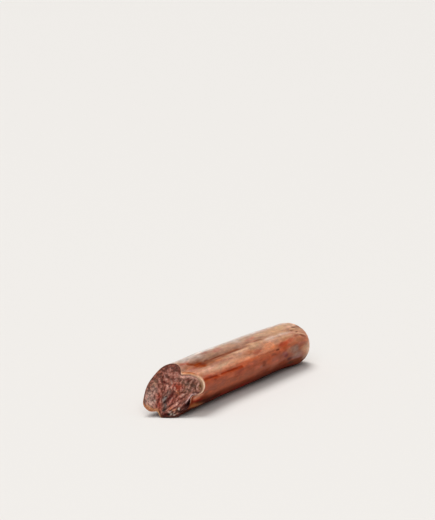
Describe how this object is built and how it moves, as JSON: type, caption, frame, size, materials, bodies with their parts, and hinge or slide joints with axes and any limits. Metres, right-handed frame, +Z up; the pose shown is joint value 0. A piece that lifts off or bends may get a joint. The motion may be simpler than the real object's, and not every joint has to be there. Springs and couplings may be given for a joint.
{
  "type": "cured pork loin",
  "caption": "Half of a dry-cured pork loin in its natural casing: a round bar, cut across at a slant at one end, with a rounded, puckered end at the other.",
  "frame": {"origin": "middle of the footprint, on the surface that the loin lies on", "axes": "+X along the loin, from the cut to the rounded end; +Z up; +Y to the left, seen from the cut"},
  "size_m": [0.305, 0.058, 0.0522],
  "materials": {
    "casing": "semi-gloss dried natural casing, reddish brown, over cured meat that shows at the cut"
  },
  "bodies": {
    "root": {"cured_loin": "casing"}
  },
  "joints": []
}
